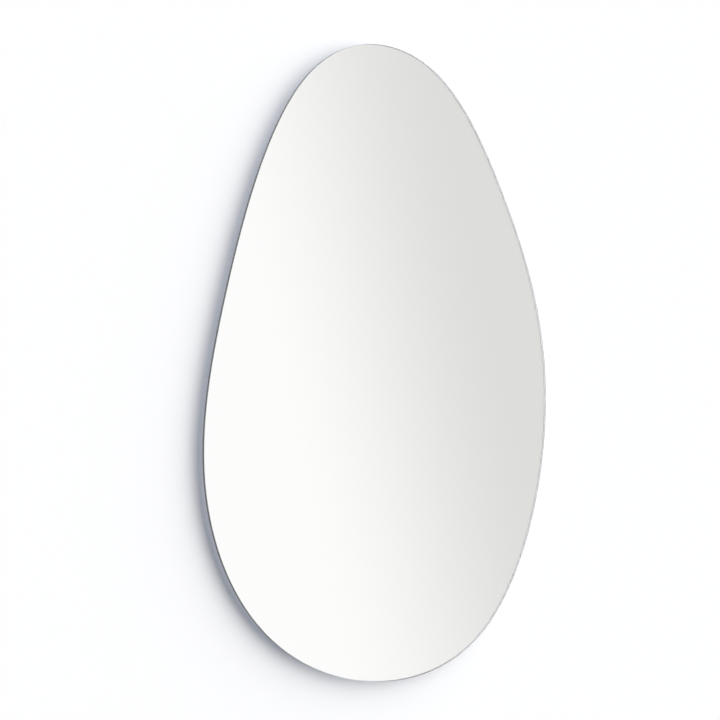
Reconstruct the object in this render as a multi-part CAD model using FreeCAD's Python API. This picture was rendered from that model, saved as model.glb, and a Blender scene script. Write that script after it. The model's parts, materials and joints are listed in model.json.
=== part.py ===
import FreeCAD, Part
import os

# Frameless mirror of irregular outline that hangs on a pair of interlocking rails, in mm.
# The wall is the plane Y = 0 and the mirror faces -Y, with +Z up. The origin lies on the wall,
# midway between the wall rail's fixing holes and straight above the middle of the glass's weight.
# A place across the thickness is given as its distance from the wall.

Vector = FreeCAD.Vector

# Glass: overall size, and the corners of the frame of eight sides that its rim is drawn inside, as
# shares of half the width and half the height. The rim is one smooth curve pulled towards them.
WIDTH = 700.0
HEIGHT = 1000.0
CROWN_LEFT = (-0.534, 1.006)
LEFT_SHOULDER = (-0.929, 0.156)
LEFT_BELLY = (-1.080, -0.426)
FOOT_LEFT = (-0.609, -0.992)
FOOT_RIGHT = (0.700, -1.078)
RIGHT_BELLY = (1.140, -0.072)
RIGHT_SHOULDER = (0.720, 0.586)
CROWN_RIGHT = (0.291, 1.040)
GLASS_THICKNESS = 5.0
ARRIS = 0.5

# Layers behind the glass
COATING_THICKNESS = 0.1
FILM_THICKNESS = 0.15
FILM_INSET = 3.0
BOARD_THICKNESS = 9.0
BOARD_INSET = 35.0
BOARD_BEVEL = 3.0

# Foam tape strips and the adhesive beads between them, all upright
TAPE_COUNT = 5
TAPE_SIDE_INSET = 90.0
TAPE_WIDTH = 25.0
TAPE_THICKNESS = 1.0
TAPE_MARGIN = 12.0
BEAD_WIDTH = 14.0
BEAD_MARGIN = 55.0

# Interlocking rails: one extruded section, used upright on the wall and turned over on the board
RAIL_LENGTH = 300.0
RAIL_GAUGE = 2.5
RAIL_BELOW_TOP = 220.0
FLANGE_BELOW_HOLES = 12.5
FLANGE_ABOVE_HOLES = 10.0
LIP_ENGAGEMENT = 10.0
LIP_CLEARANCE = 0.6
LIP_PLAY = 0.3
BEND_RADIUS = 1.0
TIP_RADIUS = 0.8
EDGE_RADIUS = 0.4
DRILL_GROOVE = 0.4

# Fixings
WALL_HOLE_COUNT = 4
WALL_HOLE_PITCH = 80.0
WALL_HOLE_RADIUS = 2.5
WALL_HEAD_RADIUS = 4.3
RAIL_SCREW_COUNT = 4
RAIL_SCREW_PITCH = 85.0
SCREW_RADIUS = 1.75
SCREW_HEAD_RADIUS = 3.5
SCREW_HEAD_SUNK = 0.1
SCREW_COVER = 1.0
SCREW_POINT = 2.5
SCREW_PLAY = 0.05
SCREW_HOLE_SPARE = 0.5
RECESS_SPAN = 3.8
RECESS_WIDTH = 0.8
RECESS_DEPTH = 1.2

# Spacers low on the board, with a pad that rests on the wall
SPACER_WIDTH = 40.0
SPACER_HEIGHT = 30.0
SPACER_CORNER = 4.0
SPACER_ABOVE_FOOT = 170.0
SPACER_INSET = 50.0
PAD_THICKNESS = 2.0
PAD_INSET = 1.5

# The stack, from the wall to the face
LIP_OFFSET = RAIL_GAUGE + LIP_CLEARANCE + LIP_PLAY
RAIL_STACK = LIP_OFFSET + RAIL_GAUGE + LIP_CLEARANCE
BOARD_BACK = RAIL_STACK
TAPE_BACK = BOARD_BACK + BOARD_THICKNESS
FILM_BACK = TAPE_BACK + TAPE_THICKNESS
COATING_BACK = FILM_BACK + FILM_THICKNESS
GLASS_BACK = COATING_BACK + COATING_THICKNESS

# How far a screw goes into the board, short of its front
SCREW_BITE = BOARD_THICKNESS - SCREW_COVER - SCREW_HOLE_SPARE

# Heights of the rails' seat and of the holes in the mirror rail
SEAT_HEIGHT = FLANGE_ABOVE_HOLES + RAIL_GAUGE
MIRROR_HOLE_HEIGHT = 2 * SEAT_HEIGHT + LIP_ENGAGEMENT

AWAY_FROM_WALL = -1
TO_WALL = 1
OUTLINE_SAMPLES = 1000


def closed_curve(poles):
    """Closed cubic curve of continuous curvature, inside the frame that its poles make."""
    count = len(poles)
    curve = Part.BSplineCurve()
    curve.buildFromPolesMultsKnots(poles, [1] * (count + 1), list(range(count + 1)), True, 3)
    return curve


def extents(curve):
    """Lowest and highest corner of a closed curve in the XZ plane."""
    step = (curve.LastParameter - curve.FirstParameter) / OUTLINE_SAMPLES
    points = [curve.value(curve.FirstParameter + step * i) for i in range(OUTLINE_SAMPLES)]
    low = Vector(min(p.x for p in points), 0, min(p.z for p in points))
    high = Vector(max(p.x for p in points), 0, max(p.z for p in points))
    return low, high


def glass_outline():
    """Smooth closed rim of the glass, exactly WIDTH by HEIGHT, with its centroid at X = 0."""
    left = [CROWN_LEFT, LEFT_SHOULDER, LEFT_BELLY, FOOT_LEFT]
    right = [FOOT_RIGHT, RIGHT_BELLY, RIGHT_SHOULDER, CROWN_RIGHT]
    poles = [Vector(x * WIDTH / 2, 0, z * HEIGHT / 2) for x, z in left + right]
    curve = closed_curve(poles)
    low, high = extents(curve)
    middle = (low + high) / 2
    stretch_x = WIDTH / (high.x - low.x)
    stretch_z = HEIGHT / (high.z - low.z)
    poles = [Vector((p.x - middle.x) * stretch_x, 0, (p.z - middle.z) * stretch_z) for p in poles]
    curve = closed_curve(poles)
    centroid = Part.Face(Part.Wire([curve.toShape()])).CenterOfMass
    curve.translate(Vector(-centroid.x, 0, RAIL_BELOW_TOP - HEIGHT / 2))
    return curve


def inset(curve, distance):
    """Curve that runs at a steady distance inside a closed curve."""
    return Part.OffsetCurve(curve, distance, Vector(0, 1, 0)).toBSpline()


def slab(curve, back, thickness):
    """Sheet with the outline of a curve, from its back's distance to the wall outwards."""
    back_rim = Part.Wire([curve.toShape()])
    back_rim.translate(Vector(0, -back, 0))
    front_rim = back_rim.copy()
    front_rim.translate(Vector(0, -thickness, 0))
    return Part.makeLoft([back_rim, front_rim], True, True)


def rims(sheet, distances):
    """Edges that run round a sheet at the given distances from the wall."""
    flat = 0.01
    found = []
    for edge in sheet.Edges:
        box = edge.BoundBox
        if box.YLength < flat and any(abs(box.Center.y + d) < flat for d in distances):
            found.append(edge)
    return found


def bevelled(sheet, distances, size):
    return sheet.makeChamfer(size, rims(sheet, distances)).Solids[0]


def upright_span(curve, x, half_width):
    """Lowest and highest Z that an upright strip centred on x can reach inside a closed curve."""
    face = Part.Face(Part.Wire([curve.toShape()]))
    spans = []
    for side in (x - half_width, x + half_width):
        line = Part.makeLine(Vector(side, 0, -HEIGHT), Vector(side, 0, HEIGHT))
        spans.append(face.common(line).BoundBox)
    return max(box.ZMin for box in spans), min(box.ZMax for box in spans)


def level_span(curve, z):
    """Leftmost and rightmost X inside a closed curve at a height."""
    face = Part.Face(Part.Wire([curve.toShape()]))
    box = face.common(Part.makeLine(Vector(-WIDTH, 0, z), Vector(WIDTH, 0, z))).BoundBox
    return box.XMin, box.XMax


def centred_row(count, pitch):
    return [(i - (count - 1) / 2) * pitch for i in range(count)]


def turned(profile, x, distance, z, way):
    """Solid of revolution about Y; its profile's (radius, depth) start at a distance from the wall."""
    points = [Vector(radius, way * depth, 0) for radius, depth in profile]
    solid = Part.Face(Part.makePolygon(points + points[:1])).revolve(Vector(), Vector(0, 1, 0), 360)
    solid.translate(Vector(x, -distance, z))
    return solid


def countersunk_hole(hole_radius, head_radius, depth, x, distance, z, way):
    """Tool for a hole with a 90 degree countersink at its mouth."""
    sink = head_radius - hole_radius
    profile = [(0, 0), (head_radius, 0), (hole_radius, sink), (hole_radius, depth), (0, depth)]
    return turned(profile, x, distance, z, way)


def wood_screw(length, x, distance, z):
    """Countersunk screw driven away from the wall, its head just under the surface it enters."""
    top = SCREW_HEAD_SUNK
    neck = top + SCREW_HEAD_RADIUS - SCREW_RADIUS
    profile = [(0, top), (SCREW_HEAD_RADIUS, top), (SCREW_RADIUS, neck),
               (SCREW_RADIUS, length - SCREW_POINT), (0, length)]
    screw = turned(profile, x, distance, z, AWAY_FROM_WALL)
    for span_x, span_z in ((RECESS_SPAN, RECESS_WIDTH), (RECESS_WIDTH, RECESS_SPAN)):
        corner = Vector(x - span_x / 2, -distance - top - RECESS_DEPTH, z - span_z / 2)
        screw = screw.cut(Part.makeBox(span_x, RECESS_DEPTH, span_z, corner))
    return screw


def screw_seat(length, x, distance, z):
    """Tool for the countersunk hole that a wood screw of this length fills."""
    shank = SCREW_RADIUS + SCREW_PLAY
    head = SCREW_HEAD_RADIUS + SCREW_PLAY + SCREW_HEAD_SUNK
    depth = length + SCREW_HOLE_SPARE
    return countersunk_hole(shank, head, depth, x, distance, z, AWAY_FROM_WALL)


def rounded_corner(before, corner, after, radius):
    """Start, middle and end of the arc that rounds a square corner; a sharp one keeps its point."""
    if radius == 0:
        return corner, corner, corner
    back = (before - corner).normalize() * radius
    ahead = (after - corner).normalize() * radius
    inwards = (back + ahead).normalize() * radius
    return corner + back, corner + back + ahead - inwards, corner + ahead


def rounded_section(corners):
    """Face in the YZ plane; each of its corners is (distance from the wall, height, radius)."""
    points = [Vector(0, -distance, height) for distance, height, radius in corners]
    before = points[-1:] + points[:-1]
    after = points[1:] + points[:1]
    radii = [radius for distance, height, radius in corners]
    arcs = [rounded_corner(*corner) for corner in zip(before, points, after, radii)]
    edges = []
    for i, (start, middle, end) in enumerate(arcs):
        edges.append(Part.makeLine(arcs[i - 1][2], start))
        if start != end:
            edges.append(Part.Arc(start, middle, end).toShape())
    return Part.Face(Part.Wire(edges))


def rail_bar():
    """Extruded bar: flange on the wall, web, and a lip that stands off the wall and points up."""
    front = LIP_OFFSET + RAIL_GAUGE
    tip = SEAT_HEIGHT + LIP_ENGAGEMENT
    section = rounded_section([
        (0, -FLANGE_BELOW_HOLES, EDGE_RADIUS),
        (RAIL_GAUGE, -FLANGE_BELOW_HOLES, EDGE_RADIUS),
        (RAIL_GAUGE, -DRILL_GROOVE, 0),
        (RAIL_GAUGE - DRILL_GROOVE, 0, 0),
        (RAIL_GAUGE, DRILL_GROOVE, 0),
        (RAIL_GAUGE, SEAT_HEIGHT - RAIL_GAUGE, EDGE_RADIUS),
        (front, SEAT_HEIGHT - RAIL_GAUGE, BEND_RADIUS),
        (front, tip, TIP_RADIUS),
        (LIP_OFFSET, tip, TIP_RADIUS),
        (LIP_OFFSET, SEAT_HEIGHT, EDGE_RADIUS),
        (0, SEAT_HEIGHT, BEND_RADIUS),
    ])
    section.translate(Vector(-RAIL_LENGTH / 2, 0, 0))
    return section.extrude(Vector(RAIL_LENGTH, 0, 0))


def wall_rail():
    rail = rail_bar()
    for x in centred_row(WALL_HOLE_COUNT, WALL_HOLE_PITCH):
        tool = countersunk_hole(WALL_HOLE_RADIUS, WALL_HEAD_RADIUS, RAIL_STACK, x, RAIL_GAUGE, 0, TO_WALL)
        rail = rail.cut(tool)
    return rail


def rail_screw_places():
    """Length, X, distance from the wall and Z of the head of each screw that holds the mirror rail."""
    length = RAIL_GAUGE + SCREW_BITE
    row = centred_row(RAIL_SCREW_COUNT, RAIL_SCREW_PITCH)
    return [(length, x, RAIL_STACK - RAIL_GAUGE, MIRROR_HOLE_HEIGHT) for x in row]


def spacer_screw_places(spacers):
    """The same four values for the screw of each spacer."""
    length = BOARD_BACK - PAD_THICKNESS + SCREW_BITE
    return [(length, x, PAD_THICKNESS, z) for x, z in spacers]


def mirror_rail():
    """The same bar turned over about its length, so that its lip hangs in the wall rail's channel."""
    rail = rail_bar()
    rail.rotate(Vector(), Vector(1, 0, 0), 180)
    rail.translate(Vector(0, -RAIL_STACK, MIRROR_HOLE_HEIGHT))
    for place in rail_screw_places():
        rail = rail.cut(screw_seat(*place))
    return rail


def screws(places):
    return Part.makeCompound([wood_screw(*place) for place in places])


def spacer_centres(board):
    """Centres of the two lower spacers, set in from the board's sides."""
    z = RAIL_BELOW_TOP - HEIGHT + SPACER_ABOVE_FOOT
    left, right = level_span(board, z)
    return [(left + SPACER_INSET, z), (right - SPACER_INSET, z)]


def rounded_plate(width, height, thickness, corner, back, x, z):
    """Plate with round corners, centred on (x, z), from its back's distance to the wall outwards."""
    low = Vector(x - width / 2, -back - thickness, z - height / 2)
    plate = Part.makeBox(width, thickness, height, low)
    corners = [edge for edge in plate.Edges if edge.BoundBox.YLength > thickness / 2]
    return plate.makeFillet(corner, corners)


def spacer(x, z):
    thickness = BOARD_BACK - PAD_THICKNESS
    block = rounded_plate(SPACER_WIDTH, SPACER_HEIGHT, thickness, SPACER_CORNER, PAD_THICKNESS, x, z)
    for place in spacer_screw_places([(x, z)]):
        block = block.cut(screw_seat(*place))
    return block


def pad(x, z):
    width = SPACER_WIDTH - 2 * PAD_INSET
    height = SPACER_HEIGHT - 2 * PAD_INSET
    return rounded_plate(width, height, PAD_THICKNESS, SPACER_CORNER - PAD_INSET, 0, x, z)


def backing_board(outline, spacers):
    """Board with a bevelled back rim and the holes that the rail's and spacers' screws go into."""
    board = bevelled(slab(outline, BOARD_BACK, BOARD_THICKNESS), [BOARD_BACK], BOARD_BEVEL)
    for place in rail_screw_places() + spacer_screw_places(spacers):
        board = board.cut(screw_seat(*place))
    return board


def strip_places(board):
    """X of each tape strip, spaced evenly between the board's widest sides."""
    low, high = extents(board)
    first = low.x + TAPE_SIDE_INSET
    pitch = (high.x - TAPE_SIDE_INSET - first) / (TAPE_COUNT - 1)
    return [first + pitch * i for i in range(TAPE_COUNT)]


def tape_strip(board, x):
    low, high = upright_span(board, x, TAPE_WIDTH / 2)
    corner = Vector(x - TAPE_WIDTH / 2, -FILM_BACK, low + TAPE_MARGIN)
    return Part.makeBox(TAPE_WIDTH, TAPE_THICKNESS, high - low - 2 * TAPE_MARGIN, corner)


def adhesive_bead(board, x):
    """Bead pressed flat between board and film, with round ends."""
    radius = BEAD_WIDTH / 2
    low, high = upright_span(board, x, radius)
    bottom = low + BEAD_MARGIN + radius
    top = high - BEAD_MARGIN - radius
    left_top = Vector(x - radius, -TAPE_BACK, top)
    left_foot = Vector(x - radius, -TAPE_BACK, bottom)
    right_foot = Vector(x + radius, -TAPE_BACK, bottom)
    right_top = Vector(x + radius, -TAPE_BACK, top)
    foot = Part.Arc(left_foot, Vector(x, -TAPE_BACK, bottom - radius), right_foot)
    head = Part.Arc(right_top, Vector(x, -TAPE_BACK, top + radius), left_top)
    left = Part.makeLine(left_top, left_foot)
    right = Part.makeLine(right_foot, right_top)
    face = Part.Face(Part.Wire([left, foot.toShape(), right, head.toShape()]))
    return face.extrude(Vector(0, -TAPE_THICKNESS, 0))


def build():
    """Every piece of the mirror, by node name."""
    rim = glass_outline()
    board = inset(rim, BOARD_INSET)
    spacers = spacer_centres(board)
    left, right = spacers
    glass_front = GLASS_BACK + GLASS_THICKNESS
    nodes = {
        "mirror_glass": bevelled(slab(rim, GLASS_BACK, GLASS_THICKNESS), [GLASS_BACK, glass_front], ARRIS),
        "silver_coating": slab(inset(rim, ARRIS), COATING_BACK, COATING_THICKNESS),
        "safety_film": slab(inset(rim, FILM_INSET), FILM_BACK, FILM_THICKNESS),
        "backing_board": backing_board(board, spacers),
        "mirror_rail": mirror_rail(),
        "mirror_rail_screws": screws(rail_screw_places()),
        "wall_rail": wall_rail(),
        "lower_left_spacer": spacer(*left),
        "lower_right_spacer": spacer(*right),
        "lower_left_pad": pad(*left),
        "lower_right_pad": pad(*right),
        "spacer_screws": screws(spacer_screw_places(spacers)),
    }
    strips = strip_places(board)
    for number, x in enumerate(strips, 1):
        nodes[f"foam_tape_strip_{number}"] = tape_strip(board, x)
    for number, (left_strip, right_strip) in enumerate(zip(strips, strips[1:]), 1):
        nodes[f"adhesive_bead_{number}"] = adhesive_bead(board, (left_strip + right_strip) / 2)
    return nodes


os.makedirs("parts", exist_ok=True)
for name, shape in build().items():
    shape.exportStep(f"parts/{name}.step")
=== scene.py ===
"""Irregular shaped mirror: looks, stage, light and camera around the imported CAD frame."""

import json
import math

import bpy
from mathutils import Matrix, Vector


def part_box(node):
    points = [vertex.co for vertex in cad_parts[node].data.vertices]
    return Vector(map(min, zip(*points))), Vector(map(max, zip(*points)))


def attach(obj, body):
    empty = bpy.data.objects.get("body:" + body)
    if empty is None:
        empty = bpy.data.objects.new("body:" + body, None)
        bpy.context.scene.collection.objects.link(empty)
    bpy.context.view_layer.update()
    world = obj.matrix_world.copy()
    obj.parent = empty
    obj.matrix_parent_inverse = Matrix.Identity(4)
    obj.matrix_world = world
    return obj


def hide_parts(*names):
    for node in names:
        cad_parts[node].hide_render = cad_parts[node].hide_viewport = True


# Camera: it looks level, from the mirror's left. Its lens and sensor are in millimetres.
CAMERA_AZIMUTH = math.radians(-39.37)
CAMERA_DISTANCE = 3.0
CAMERA_LENS = 96.6
SENSOR_WIDTH = 36.0
AIM_X = -0.0564
AIM_Z = -0.2742

# Corners of the eight-sided frame that the glass's rim is drawn inside, as shares of half the
# width and half the height, left side first. The solid glass has the same rim.
RIM_CORNERS = [
    (-0.534, 1.006),
    (-0.929, 0.156),
    (-1.080, -0.426),
    (-0.609, -0.992),
    (0.700, -1.078),
    (1.140, -0.072),
    (0.720, 0.586),
    (0.291, 1.040),
]
RIM_POINTS_PER_SPAN = 80

# Polished edge of the glass: its arris, how far each corner is eased, and the thin gap that keeps
# the back of the glass clear of the silver
ARRIS = 0.0005
EASE = 0.00008
OPTICAL_GAP = 0.00005
GLASS_IOR = 1.52

# The glass's three finishes, by their place among its materials. A slope is how much of a face's
# normal points through the pane.
FACE_FINISH = 0
FLAT_EDGE_FINISH = 1
ARRIS_FINISH = 2
LEAST_FACE_SLOPE = 0.95
MOST_FLAT_EDGE_SLOPE = 0.3

# Sides of each face in the bands round the rim, which are shaded smooth
BAND_SIDES = 4

# Film on the back: distance from one of its threads to the next
WEAVE_PERIOD = 0.008

# Stage: a white wall, and a pale floor that fades into the studio far from the mirror
WALL_BEHIND_MOUNT = 0.0005
WALL_HALF_WIDTH = 2.5
WALL_TOP = 2.0
WALL_COLOUR = (0.985, 0.985, 0.985, 1)
FLOOR_Z = -1.9
FLOOR_HALF_WIDTH = 8.0
FLOOR_FADE_START = 1.0
FLOOR_FADE_END = 6.0
FLOOR_LOW = (0.62, 0.62, 0.62)
FLOOR_HIGH = (0.66, 0.66, 0.66)

# Light: a fill from all sides, and a broad lamp ahead and behind. A level is the share of full
# white that the lamp alone gives a white surface parallel to the wall.
FILL_COLOUR = (0.077, 0.080, 0.087, 1)
KEY_LAMP = {
    "azimuth": math.radians(38),
    "elevation": math.radians(23),
    "spread": math.radians(108),
    "level": 0.93,
    "colour": (1.0, 1.0, 1.012),
}
BACK_LAMP = {
    "azimuth": math.radians(190),
    "elevation": math.radians(20),
    "spread": math.radians(100),
    "level": 0.95,
    "colour": (1.0, 1.0, 1.0),
}

# Studio that glass and metal reflect: white, fading to grey towards the mirror's right and upwards,
# with a narrow grey gap ahead. The fade runs between two shares of a direction that point that way,
# and the gap between two angles from its middle.
STUDIO_WHITE = (1.0, 1.0, 1.0, 1)
STUDIO_GREY = (0.742, 0.742, 0.730, 1)
STUDIO_AZIMUTH = math.pi / 2 - CAMERA_AZIMUTH
STUDIO_TILT = 0.225
STUDIO_FADE_START = -0.0503
STUDIO_FADE_END = 0.0794
GAP_AZIMUTH = math.radians(13)
GAP_EDGE = math.radians(21)
GAP_CORE = math.radians(6)

# Places on a noise's ramp where its low colour ends and its high colour starts
MOTTLE_LOW = 0.35
MOTTLE_HIGH = 0.65

# Sockets of Blender's mix node for colours
MIX_FACTOR = 0
MIX_FIRST = 6
MIX_SECOND = 7
MIX_RESULT = 2

# Radians per metre of Blender's wave texture at a scale of 1
WAVE_PHASE = 20.0


def direction(azimuth, elevation):
    """Unit vector from the object outwards. Azimuth 0 is straight ahead of the mirror's face."""
    level = math.cos(elevation)
    return Vector((math.sin(azimuth) * level, -math.cos(azimuth) * level, math.sin(elevation)))


def add_object(name, data):
    thing = bpy.data.objects.new(name, data)
    bpy.context.scene.collection.objects.link(thing)
    return thing


# ---------------------------------------------------------------- node helpers

class Nodes:
    """Short way to add and join the nodes of one material or world."""

    def __init__(self, tree):
        self.tree = tree
        tree.nodes.clear()

    def add(self, kind, inputs=None, **settings):
        node = self.tree.nodes.new(kind)
        for name, value in settings.items():
            setattr(node, name, value)
        for name, value in (inputs or {}).items():
            self.set(node, name, value)
        return node

    def set(self, node, name, value):
        socket = node.inputs[name]
        if isinstance(value, bpy.types.NodeSocket):
            self.tree.links.new(value, socket)
        else:
            socket.default_value = value

    def shader(self, kind, inputs=None):
        return self.add(kind, inputs).outputs[0]

    def principled(self, inputs):
        return self.shader("ShaderNodeBsdfPrincipled", inputs)

    def maths(self, operation, *values):
        return self.add("ShaderNodeMath", dict(enumerate(values)), operation=operation).outputs[0]

    def vector_maths(self, operation, *vectors):
        """Number that an operation on vectors gives."""
        inputs = dict(enumerate(vectors))
        return self.add("ShaderNodeVectorMath", inputs, operation=operation).outputs["Value"]

    def spread(self, value, low, high):
        """A value from 0 to 1, brought to between low and high."""
        inputs = {"Value": value, "To Min": low, "To Max": high}
        return self.add("ShaderNodeMapRange", inputs).outputs[0]

    def fade(self, value, start, end):
        """Soft step: 0 up to start, and 1 from end."""
        inputs = {"Value": value, "From Min": start, "From Max": end}
        return self.add("ShaderNodeMapRange", inputs, interpolation_type="SMOOTHSTEP").outputs[0]

    def mix_colour(self, factor, first, second):
        node = self.add("ShaderNodeMix", data_type="RGBA")
        self.set(node, MIX_FACTOR, factor)
        self.set(node, MIX_FIRST, first)
        self.set(node, MIX_SECOND, second)
        return node.outputs[MIX_RESULT]

    def mix_shader(self, factor, first, second):
        return self.shader("ShaderNodeMixShader", {0: factor, 1: first, 2: second})

    def ramp(self, factor, *stops):
        node = self.add("ShaderNodeValToRGB", {"Fac": factor})
        elements = node.color_ramp.elements
        while len(elements) < len(stops):
            elements.new(1)
        for element, (place, colour) in zip(elements, stops):
            element.position = place
            element.color = colour
        return node.outputs["Color"]

    def mottle(self, factor, low, high):
        """Colours from low to high around the middle of a noise."""
        return self.ramp(factor, (MOTTLE_LOW, (*low, 1)), (MOTTLE_HIGH, (*high, 1)))

    def place(self, scale=(1, 1, 1)):
        """Object coordinates in metres, stretched by a scale on each axis."""
        coords = self.add("ShaderNodeTexCoord").outputs["Object"]
        return self.add("ShaderNodeMapping", {"Vector": coords, "Scale": scale}).outputs["Vector"]

    def noise(self, scale, detail=4, roughness=0.55, stretch=(1, 1, 1)):
        return self.add("ShaderNodeTexNoise", {
            "Vector": self.place(stretch),
            "Scale": scale,
            "Detail": detail,
            "Roughness": roughness,
        }).outputs["Fac"]

    def bump(self, height, strength, distance):
        inputs = {"Height": height, "Strength": strength, "Distance": distance}
        return self.add("ShaderNodeBump", inputs).outputs["Normal"]

    def finish(self, surface, kind="ShaderNodeOutputMaterial"):
        self.set(self.add(kind), "Surface", surface)


def new_material(name):
    material = bpy.data.materials.new(name)
    material.use_nodes = True
    return material, Nodes(material.node_tree)


# ---------------------------------------------------------------- materials

def glass_material():
    """Clear float glass, with the faintest of smears on its faces."""
    material, nodes = new_material("float_glass")
    smear = nodes.noise(scale=9, detail=3)
    nodes.finish(nodes.principled({
        "Base Color": (0.995, 1.0, 0.998, 1),
        "Roughness": nodes.spread(smear, low=0.0, high=0.004),
        "IOR": GLASS_IOR,
        "Transmission Weight": 1.0,
    }))
    return material


def edge_material():
    """Polished flat of the rim, which shows the glass's own grey green and a slight haze."""
    material, nodes = new_material("polished_edge")
    haze = nodes.noise(scale=500, detail=4)
    nodes.finish(nodes.principled({
        "Base Color": nodes.mottle(haze, low=(0.72, 0.80, 0.81), high=(0.82, 0.89, 0.90)),
        "Roughness": nodes.spread(haze, low=0.08, high=0.16),
        "IOR": GLASS_IOR,
        "Transmission Weight": 0.7,
    }))
    return material


def arris_material():
    """Polished bevels on both sides of the flat edge, a little less clear than the faces."""
    material, nodes = new_material("polished_arris")
    grain = nodes.noise(scale=2500, detail=3)
    nodes.finish(nodes.principled({
        "Base Color": (0.96, 1.0, 0.99, 1),
        "Roughness": nodes.spread(grain, low=0.02, high=0.06),
        "IOR": GLASS_IOR,
        "Transmission Weight": 1.0,
    }))
    return material


def silvering_material():
    """Silver on the side that faces the glass, and grey protective paint on the others."""
    towards_glass = -0.5
    silver = (0.995, 0.982, 0.980, 1)
    paint_roughness = 0.55
    material, nodes = new_material("silver_under_paint")
    normal = nodes.add("ShaderNodeTexCoord").outputs["Normal"]
    facing = nodes.add("ShaderNodeSeparateXYZ", {"Vector": normal}).outputs["Y"]
    is_silver = nodes.maths("LESS_THAN", facing, towards_glass)
    paint = nodes.mottle(nodes.noise(scale=60), low=(0.24, 0.26, 0.28), high=(0.29, 0.31, 0.33))
    polish = nodes.maths("MULTIPLY", is_silver, paint_roughness)
    nodes.finish(nodes.principled({
        "Base Color": nodes.mix_colour(is_silver, paint, silver),
        "Metallic": is_silver,
        "Roughness": nodes.maths("SUBTRACT", paint_roughness, polish),
    }))
    return material


def weave_height(nodes):
    """Height of the film's threads, which run across and up."""
    bands = []
    for axis in ("X", "Z"):
        wave = nodes.add("ShaderNodeTexWave", {
            "Vector": nodes.place(),
            "Scale": 2 * math.pi / (WAVE_PHASE * WEAVE_PERIOD),
            "Distortion": 0.4,
            "Detail": 1.0,
        }, bands_direction=axis)
        bands.append(wave.outputs["Fac"])
    return nodes.maths("MAXIMUM", *bands)


def film_material():
    """Grey blue film with paler threads in it."""
    thread_share = 0.25
    thread_colour = (0.58, 0.62, 0.70, 1)
    material, nodes = new_material("safety_film")
    height = weave_height(nodes)
    cloud = nodes.noise(scale=14)
    colour = nodes.mottle(cloud, low=(0.45, 0.48, 0.565), high=(0.50, 0.53, 0.615))
    threads = nodes.maths("MULTIPLY", height, thread_share)
    nodes.finish(nodes.principled({
        "Base Color": nodes.mix_colour(threads, colour, thread_colour),
        "Roughness": 0.48,
        "Normal": nodes.bump(height, strength=0.35, distance=0.0002),
    }))
    return material


def board_material():
    """Fibreboard under dark matt paint, with a few fibres that show paler."""
    fleck_stops = (0.60, (0, 0, 0, 1)), (0.78, (1, 1, 1, 1))
    fleck_share = 0.35
    fleck_colour = (0.25, 0.25, 0.27, 1)
    material, nodes = new_material("painted_fibreboard")
    fibres = nodes.noise(scale=900, detail=6, stretch=(1, 1, 0.35))
    cloud = nodes.noise(scale=7, detail=5)
    colour = nodes.mottle(cloud, low=(0.118, 0.119, 0.127), high=(0.158, 0.159, 0.168))
    flecks = nodes.maths("MULTIPLY", nodes.ramp(fibres, *fleck_stops), fleck_share)
    nodes.finish(nodes.principled({
        "Base Color": nodes.mix_colour(flecks, colour, fleck_colour),
        "Roughness": nodes.spread(cloud, low=0.5, high=0.68),
        "Normal": nodes.bump(fibres, strength=0.3, distance=0.0002),
    }))
    return material


def foam_material():
    """Closed-cell foam, darker at its cells."""
    cell_stops = (0.0, (0.66, 0.67, 0.68, 1)), (0.6, (0.84, 0.85, 0.86, 1))
    material, nodes = new_material("foam_tape")
    inputs = {"Vector": nodes.place(), "Scale": 1400.0}
    cells = nodes.add("ShaderNodeTexVoronoi", inputs).outputs["Distance"]
    nodes.finish(nodes.principled({
        "Base Color": nodes.ramp(cells, *cell_stops),
        "Roughness": 0.8,
        "Normal": nodes.bump(cells, strength=0.5, distance=0.0003),
    }))
    return material


def adhesive_material():
    """Cured elastic adhesive, swollen unevenly along its bead."""
    material, nodes = new_material("mirror_adhesive")
    swell = nodes.noise(scale=60, detail=3, stretch=(1, 1, 0.3))
    nodes.finish(nodes.principled({
        "Base Color": nodes.mottle(swell, low=(0.70, 0.69, 0.64), high=(0.80, 0.79, 0.75)),
        "Roughness": 0.42,
        "Normal": nodes.bump(swell, strength=0.4, distance=0.0006),
    }))
    return material


def aluminium_material():
    """Extruded bar, with die lines along its length."""
    material, nodes = new_material("extruded_aluminium")
    lines = nodes.noise(scale=1500, detail=3, stretch=(0.01, 1, 1))
    stain = nodes.noise(scale=24, detail=5)
    nodes.finish(nodes.principled({
        "Base Color": nodes.mottle(stain, low=(0.70, 0.71, 0.72), high=(0.82, 0.83, 0.84)),
        "Metallic": 1.0,
        "Roughness": nodes.spread(lines, low=0.26, high=0.46),
        "Normal": nodes.bump(lines, strength=0.15, distance=0.0001),
    }))
    return material


def zinc_material():
    """Zinc-plated steel, with a cloudy bloom."""
    material, nodes = new_material("zinc_plated_steel")
    bloom = nodes.noise(scale=420, detail=4)
    nodes.finish(nodes.principled({
        "Base Color": nodes.mottle(bloom, low=(0.62, 0.62, 0.60), high=(0.80, 0.80, 0.77)),
        "Metallic": 1.0,
        "Roughness": nodes.spread(bloom, low=0.24, high=0.4),
    }))
    return material


def moulding_material():
    """Dark moulded plastic with a fine matt grain."""
    material, nodes = new_material("moulded_plastic")
    grain = nodes.noise(scale=2200, detail=2)
    cloud = nodes.noise(scale=40)
    nodes.finish(nodes.principled({
        "Base Color": nodes.mottle(cloud, low=(0.020, 0.020, 0.023), high=(0.030, 0.030, 0.034)),
        "Roughness": 0.45,
        "Normal": nodes.bump(grain, strength=0.25, distance=0.0001),
    }))
    return material


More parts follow.
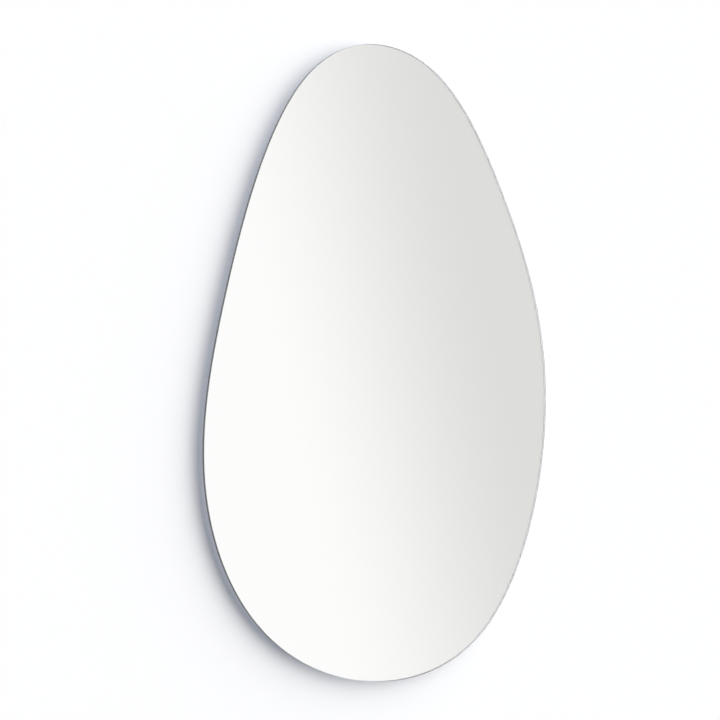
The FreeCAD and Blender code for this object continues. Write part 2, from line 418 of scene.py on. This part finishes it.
def felt_material():
    """Pressed grey felt."""
    material, nodes = new_material("pressed_felt")
    fibres = nodes.noise(scale=1100, detail=8, roughness=0.7)
    nodes.finish(nodes.principled({
        "Base Color": nodes.mottle(fibres, low=(0.13, 0.13, 0.14), high=(0.27, 0.27, 0.28)),
        "Roughness": 0.95,
        "Normal": nodes.bump(fibres, strength=0.9, distance=0.0006),
        "Sheen Weight": 0.4,
    }))
    return material


# ---------------------------------------------------------------- glass

def spline_weights(t):
    """Weights of the four corners that a point of a cubic spline is near. They add up to 6."""
    return [
        (1 - t) ** 3,
        3 * t ** 3 - 6 * t ** 2 + 4,
        -3 * t ** 3 + 3 * t ** 2 + 3 * t + 1,
        t ** 3,
    ]


def spline_point(corners, span, t):
    """Point of a uniform closed spline, a share t of the way along one span."""
    total = Vector((0, 0))
    for i, weight in enumerate(spline_weights(t)):
        total += corners[(span + i) % len(corners)] * weight
    return total / 6


def rim_points(low, high):
    """Points round the glass's rim, in X and Z, that fill the solid glass's box."""
    width = high.x - low.x
    height = high.z - low.z
    corners = [Vector((x * width / 2, z * height / 2)) for x, z in RIM_CORNERS]
    steps = [i / RIM_POINTS_PER_SPAN for i in range(RIM_POINTS_PER_SPAN)]
    points = [spline_point(corners, span, t) for span in range(len(corners)) for t in steps]
    least = Vector((min(p.x for p in points), min(p.y for p in points)))
    most = Vector((max(p.x for p in points), max(p.y for p in points)))
    stretch = Vector((width / (most.x - least.x), height / (most.y - least.y)))
    return [
        Vector((low.x + (p.x - least.x) * stretch.x, low.z + (p.y - least.y) * stretch.y))
        for p in points
    ]


def inward_normals(points):
    """Unit normal at each rim point, towards the middle of the glass."""
    count = len(points)
    tangents = [(points[(i + 1) % count] - points[i - 1]).normalized() for i in range(count)]
    return [Vector((-t.y, t.x)) for t in tangents]


def edge_profile(thickness):
    """(inset, depth behind the face) of each line that runs round the polished edge."""
    front = [(ARRIS + EASE, 0), (ARRIS - EASE, EASE), (EASE, ARRIS - EASE), (0, ARRIS + EASE)]
    back = [(inset, thickness - depth) for inset, depth in reversed(front)]
    return front + back


def ring_vertices(points, profile, face_y):
    """The rim's points, once for each line of the edge profile."""
    vertices = []
    for inset, depth in profile:
        for point, normal in zip(points, inward_normals(points)):
            place = point + normal * inset
            vertices.append((place.x, face_y + depth, place.y))
    return vertices


def ring_faces(count, ring_count):
    """The front face, the bands between neighbouring rings and the back face."""
    faces = [list(range(count))]
    for ring in range(ring_count - 1):
        start = ring * count
        for i in range(count):
            j = (i + 1) % count
            faces.append([start + j, start + i, start + count + i, start + count + j])
    last = (ring_count - 1) * count
    faces.append([last + i for i in reversed(range(count))])
    return faces


def finish_place(slope):
    """Which finish a face of the glass has."""
    if slope > LEAST_FACE_SLOPE:
        return FACE_FINISH
    if slope < MOST_FLAT_EDGE_SLOPE:
        return FLAT_EDGE_FINISH
    return ARRIS_FINISH


def make_glass(low, high, face_material):
    points = rim_points(low, high)
    profile = edge_profile(high.y - low.y - OPTICAL_GAP)
    mesh = bpy.data.meshes.new("mirror_glass_polished")
    vertices = ring_vertices(points, profile, low.y)
    mesh.from_pydata(vertices, [], ring_faces(len(points), len(profile)))
    mesh.update()
    for material in (face_material, edge_material(), arris_material()):
        mesh.materials.append(material)
    for polygon in mesh.polygons:
        polygon.use_smooth = len(polygon.vertices) == BAND_SIDES
        polygon.material_index = finish_place(abs(polygon.normal.y))
    return add_object(mesh.name, mesh)


# ---------------------------------------------------------------- stage, light and camera

def plane(name, corners, material):
    """Flat piece of the stage, which gives no light or shadow to the mirror."""
    mesh = bpy.data.meshes.new(name)
    mesh.from_pydata(corners, [], [range(len(corners))])
    mesh.update()
    mesh.materials.append(material)
    thing = add_object(name, mesh)
    thing.visible_diffuse = False
    thing.visible_shadow = False


def wall_material():
    """White paint from in front, and clear from behind and for a view that came through it."""
    once_through = 0.5
    material, nodes = new_material("wall_paint")
    paint = nodes.shader("ShaderNodeBsdfDiffuse", {"Color": WALL_COLOUR})
    clear = nodes.shader("ShaderNodeBsdfTransparent")
    behind = nodes.add("ShaderNodeNewGeometry").outputs["Backfacing"]
    depth = nodes.add("ShaderNodeLightPath").outputs["Transparent Depth"]
    came_through = nodes.maths("GREATER_THAN", depth, once_through)
    unseen = nodes.maths("MAXIMUM", behind, came_through)
    nodes.finish(nodes.mix_shader(unseen, paint, clear))
    return material


def floor_material():
    """Pale tone that gives way to the studio with distance, so that no edge of it shows."""
    material, nodes = new_material("floor_tone")
    colour = nodes.mottle(nodes.noise(scale=3), FLOOR_LOW, FLOOR_HIGH)
    distance = nodes.vector_maths("LENGTH", nodes.place(scale=(1, 1, 0)))
    fade = nodes.fade(distance, FLOOR_FADE_START, FLOOR_FADE_END)
    shown = nodes.mix_colour(fade, colour, STUDIO_WHITE)
    nodes.finish(nodes.shader("ShaderNodeBsdfTransparent", {"Color": shown}))
    return material


def make_stage():
    wide = WALL_HALF_WIDTH
    behind = WALL_BEHIND_MOUNT
    wall_corners = [
        (-wide, behind, FLOOR_Z),
        (wide, behind, FLOOR_Z),
        (wide, behind, WALL_TOP),
        (-wide, behind, WALL_TOP),
    ]
    plane("stage_wall", wall_corners, wall_material())
    reach = FLOOR_HALF_WIDTH
    floor_corners = [
        (-reach, -reach, FLOOR_Z),
        (reach, -reach, FLOOR_Z),
        (reach, reach, FLOOR_Z),
        (-reach, reach, FLOOR_Z),
    ]
    plane("stage_floor", floor_corners, floor_material())


def make_world():
    """Fill light, the studio that glass and metal reflect, and the white that the camera sees."""
    world = bpy.data.worlds.new("studio")
    bpy.context.scene.world = world
    world.use_nodes = True
    nodes = Nodes(world.node_tree)
    towards = nodes.add("ShaderNodeTexCoord").outputs["Generated"]
    across = direction(STUDIO_AZIMUTH, 0) + Vector((0, 0, STUDIO_TILT))
    side_share = nodes.vector_maths("DOT_PRODUCT", towards, across)
    side = nodes.fade(side_share, STUDIO_FADE_START, STUDIO_FADE_END)
    gap_share = nodes.vector_maths("DOT_PRODUCT", towards, direction(GAP_AZIMUTH, 0))
    gap = nodes.fade(gap_share, math.cos(GAP_EDGE), math.cos(GAP_CORE))
    studio = nodes.mix_colour(nodes.maths("MAXIMUM", side, gap), STUDIO_WHITE, STUDIO_GREY)
    rays = nodes.add("ShaderNodeLightPath").outputs
    reflected = nodes.maths("MAXIMUM", rays["Is Glossy Ray"], rays["Is Transmission Ray"])
    light = nodes.mix_colour(reflected, FILL_COLOUR, studio)
    shown = nodes.mix_colour(rays["Is Camera Ray"], light, STUDIO_WHITE)
    background = nodes.shader("ShaderNodeBackground", {"Color": shown})
    nodes.finish(background, "ShaderNodeOutputWorld")


def make_lamp(name, azimuth, elevation, spread, level, colour):
    """Broad distant lamp that no reflection shows."""
    lamp = bpy.data.lights.new(name, "SUN")
    towards = direction(azimuth, elevation)
    lamp.energy = level * math.pi / abs(towards.y)
    lamp.angle = spread
    lamp.color = colour
    thing = add_object(name, lamp)
    thing.rotation_mode = "QUATERNION"
    thing.rotation_quaternion = towards.to_track_quat("Z", "Y")
    thing.visible_glossy = False
    thing.visible_transmission = False


def make_camera(face_y):
    camera = bpy.data.cameras.new("camera")
    camera.lens = CAMERA_LENS
    camera.sensor_width = SENSOR_WIDTH
    back = direction(CAMERA_AZIMUTH, 0)
    thing = add_object("camera", camera)
    thing.location = Vector((AIM_X, face_y, AIM_Z)) + back * CAMERA_DISTANCE
    thing.rotation_mode = "QUATERNION"
    thing.rotation_quaternion = (-back).to_track_quat("-Z", "Y")
    bpy.context.scene.camera = thing


# ---------------------------------------------------------------- the scene

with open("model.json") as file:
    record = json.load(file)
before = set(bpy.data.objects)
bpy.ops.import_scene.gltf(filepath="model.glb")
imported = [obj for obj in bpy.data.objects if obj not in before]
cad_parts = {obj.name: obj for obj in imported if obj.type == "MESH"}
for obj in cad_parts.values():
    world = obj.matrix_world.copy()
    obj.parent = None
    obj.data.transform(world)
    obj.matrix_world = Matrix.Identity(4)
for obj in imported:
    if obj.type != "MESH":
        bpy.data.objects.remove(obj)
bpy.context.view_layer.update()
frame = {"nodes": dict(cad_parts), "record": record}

materials = {
    "glass": glass_material(),
    "silvering": silvering_material(),
    "film": film_material(),
    "board": board_material(),
    "tape": foam_material(),
    "adhesive": adhesive_material(),
    "rail": aluminium_material(),
    "screw": zinc_material(),
    "spacer": moulding_material(),
    "pad": felt_material(),
}

for subpart in frame["record"]["subparts"]:
    node = frame["nodes"][subpart["node"]]
    node.data.materials.clear()
    node.data.materials.append(materials[subpart["material_slot"]])

glass_low, glass_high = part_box("mirror_glass")
glass = make_glass(glass_low, glass_high, materials["glass"])
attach(glass, "mirror")
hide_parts("mirror_glass")

make_stage()
make_world()
make_lamp("key", **KEY_LAMP)
make_lamp("back_light", **BACK_LAMP)
make_camera(glass_low.y)
bpy.context.scene.view_settings.view_transform = "Standard"
